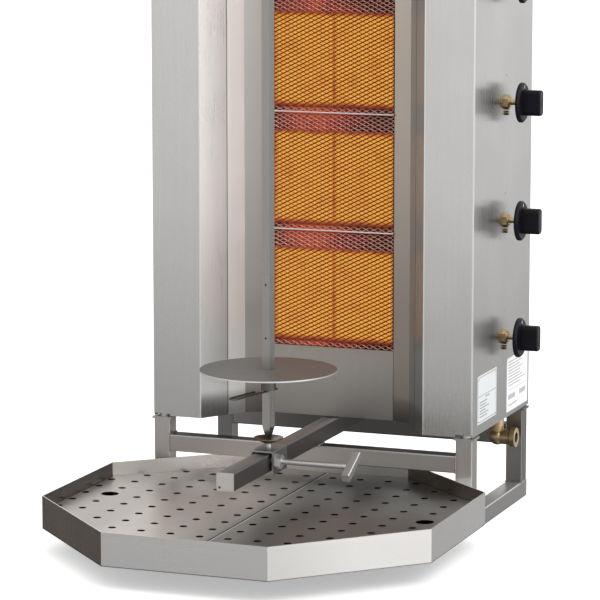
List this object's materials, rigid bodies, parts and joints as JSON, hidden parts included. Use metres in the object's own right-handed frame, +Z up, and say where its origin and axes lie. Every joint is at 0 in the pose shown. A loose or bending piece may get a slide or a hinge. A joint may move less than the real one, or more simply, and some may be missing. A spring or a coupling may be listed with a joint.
{
  "type": "vertical rotisserie broiler",
  "caption": "Gas vertical rotisserie: steel housing with stacked infrared burners, a motor-driven spit on a sliding carriage, and a perforated eight-sided drip tray.",
  "frame": {"origin": "on the floor, at the centre of the machine's bounding box seen from above", "axes": "+Z up, +Y towards the back of the housing, +X towards the side with the knobs"},
  "size_m": [0.583, 0.751, 1.13],
  "materials": {
    "tube_steel": "ground along the tubes",
    "housing_steel": "fine upright grain",
    "reflector_steel": "bright, warmed by heat",
    "guard_steel": "heat-tinted",
    "burner_steel": "aluminised, discoloured",
    "glowing_ceramic": "matt, perforated, glowing",
    "gas_pipe_steel": "yellow enamel",
    "brass": "cast and turned, dulled",
    "black_plastic": "satin",
    "zinc_steel": "zinc plated",
    "rubber": "matt",
    "plate_aluminium": "satin",
    "tray_steel": "smooth, lightly brushed",
    "spit_steel": "drawn bar and turned parts",
    "motor_paint": "dark enamel",
    "red_plastic": "translucent red"
  },
  "bodies": {
    "frame": {"side_rails": "tube_steel", "legs": "tube_steel", "cross_rails": "tube_steel", "outrigger_rail": "tube_steel", "carriage_beam": "tube_steel", "tube_end_caps": "tube_steel", "leg_top_plates": "tube_steel", "housing_bolts": "zinc_steel", "tray_pads": "rubber", "housing_bottom": "housing_steel", "housing_top": "housing_steel", "housing_side_left": "housing_steel", "housing_side_right": "housing_steel", "housing_back": "housing_steel", "front_wing_left": "housing_steel", "front_wing_right": "housing_steel", "reflector_left": "reflector_steel", "reflector_right": "reflector_steel", "apron_bottom": "reflector_steel", "apron_top": "reflector_steel", "guard_rods": "guard_steel", "burner_cases": "burner_steel", "ceramic_plaques": "glowing_ceramic", "mesh_guards": "guard_steel", "mixer_tubes": "burner_steel", "gas_manifold": "gas_pipe_steel", "gas_elbow": "brass", "inlet_union": "brass", "valve_bodies": "brass", "valve_nuts": "brass", "bypass_screws": "brass", "rating_plate": "plate_aluminium", "upper_guide": "spit_steel"},
    "tray": {"drip_tray": "tray_steel"},
    "insert_left": {"tray_insert_left": "tray_steel"},
    "insert_right": {"tray_insert_right": "tray_steel"},
    "carriage": {"saddle": "spit_steel", "spit_cup": "spit_steel"},
    "lower_pad": {"clamp_pad": "spit_steel"},
    "lower_screw": {"clamp_screw": "spit_steel"},
    "spit": {"spit_bar": "spit_steel"},
    "disc": {"spit_disc": "spit_steel"},
    "pin": {"spit_pin": "spit_steel"},
    "drive_arm": {"motor_arm": "spit_steel", "motor_cover": "housing_steel", "gearmotor": "motor_paint", "cable_gland": "black_plastic", "switch_frame": "black_plastic"},
    "drive_shaft": {"drive_socket": "spit_steel"},
    "rocker": {"switch_rocker": "red_plastic"},
    "upper_pad": {"upper_clamp_pad": "spit_steel"},
    "upper_screw": {"upper_clamp_screw": "spit_steel"},
    "rotor_1": {"valve_rotor_1": "brass"},
    "knob_1": {"knob_1": "black_plastic"},
    "rotor_2": {"valve_rotor_2": "brass"},
    "knob_2": {"knob_2": "black_plastic"},
    "rotor_3": {"valve_rotor_3": "brass"},
    "knob_3": {"knob_3": "black_plastic"},
    "rotor_4": {"valve_rotor_4": "brass"},
    "knob_4": {"knob_4": "black_plastic"}
  },
  "joints": [
    {"name": "tray_slide", "type": "slide", "parent": "frame", "child": "tray", "axis": [0, -1, 0], "range_m": [0, 0.4]},
    {"name": "insert_left_lift", "type": "slide", "parent": "tray", "child": "insert_left", "axis": [0, 0, 1], "range_m": [0, 0.025]},
    {"name": "insert_right_lift", "type": "slide", "parent": "tray", "child": "insert_right", "axis": [0, 0, 1], "range_m": [0, 0.025]},
    {"name": "carriage_slide", "type": "slide", "parent": "frame", "child": "carriage", "axis": [0, 1, 0], "range_m": [-0.08, 0.08]},
    {"name": "arm_slide", "type": "slide", "parent": "frame", "child": "drive_arm", "axis": [0, 1, 0], "range_m": [-0.08, 0.08]},
    {"name": "spit_spin", "type": "hinge", "parent": "carriage", "child": "spit", "pos_m": [-0.0065, -0.0675, 0.149], "axis": [0, 0, 1], "continuous": true},
    {"name": "drive_spin", "type": "hinge", "parent": "drive_arm", "child": "drive_shaft", "pos_m": [-0.0065, -0.0675, 1.004], "axis": [0, 0, 1], "continuous": true},
    {"name": "disc_slide", "type": "slide", "parent": "spit", "child": "disc", "axis": [0, 0, 1], "range_m": [0, 0.15]},
    {"name": "pin_pull", "type": "slide", "parent": "spit", "child": "pin", "axis": [-0.2419, -0.9703, 0], "range_m": [0, 0.05]},
    {"name": "lower_clamp_feed", "type": "slide", "parent": "carriage", "child": "lower_pad", "axis": [1, 0, 0], "range_m": [0, 0.0015]},
    {"name": "lower_clamp_turn", "type": "hinge", "parent": "lower_pad", "child": "lower_screw", "pos_m": [0.0135, -0.0875, 0.127], "axis": [1, 0, 0], "range_deg": [0, 360]},
    {"name": "upper_clamp_feed", "type": "slide", "parent": "frame", "child": "upper_pad", "axis": [0, 0, 1], "range_m": [0, 0.003]},
    {"name": "upper_clamp_turn", "type": "hinge", "parent": "upper_pad", "child": "upper_screw", "pos_m": [-0.0065, 0.1705, 1.05], "axis": [0, 0, 1], "range_deg": [0, 720]},
    {"name": "switch_rock", "type": "hinge", "parent": "drive_arm", "child": "rocker", "pos_m": [0.0275, -0.1325, 1.092], "axis": [1, 0, 0], "range_deg": [0, 16]},
    {"name": "valve_turn_1", "type": "hinge", "parent": "frame", "child": "rotor_1", "pos_m": [0.2435, 0.2475, 0.262], "axis": [1, 0, 0], "range_deg": [0, 180]},
    {"name": "knob_push_1", "type": "slide", "parent": "rotor_1", "child": "knob_1", "axis": [-1, 0, 0], "range_m": [0, 0.0035], "stiffness_N_per_m": 600, "springref_m": -0.001},
    {"name": "valve_turn_2", "type": "hinge", "parent": "frame", "child": "rotor_2", "pos_m": [0.2435, 0.2475, 0.433], "axis": [1, 0, 0], "range_deg": [0, 180]},
    {"name": "knob_push_2", "type": "slide", "parent": "rotor_2", "child": "knob_2", "axis": [-1, 0, 0], "range_m": [0, 0.0035], "stiffness_N_per_m": 600, "springref_m": -0.001},
    {"name": "valve_turn_3", "type": "hinge", "parent": "frame", "child": "rotor_3", "pos_m": [0.2435, 0.2475, 0.604], "axis": [1, 0, 0], "range_deg": [0, 180]},
    {"name": "knob_push_3", "type": "slide", "parent": "rotor_3", "child": "knob_3", "axis": [-1, 0, 0], "range_m": [0, 0.0035], "stiffness_N_per_m": 600, "springref_m": -0.001},
    {"name": "valve_turn_4", "type": "hinge", "parent": "frame", "child": "rotor_4", "pos_m": [0.2435, 0.2475, 0.775], "axis": [1, 0, 0], "range_deg": [0, 180]},
    {"name": "knob_push_4", "type": "slide", "parent": "rotor_4", "child": "knob_4", "axis": [-1, 0, 0], "range_m": [0, 0.0035], "stiffness_N_per_m": 600, "springref_m": -0.001}
  ],
  "couplings": [
    {"joint": "arm_slide", "follows": "carriage_slide", "ratio": 1},
    {"joint": "drive_spin", "follows": "spit_spin", "ratio": 1},
    {"joint": "lower_clamp_turn", "follows": "lower_clamp_feed", "rad_per_m": 4188.8},
    {"joint": "upper_clamp_turn", "follows": "upper_clamp_feed", "rad_per_m": 4188.8}
  ]
}
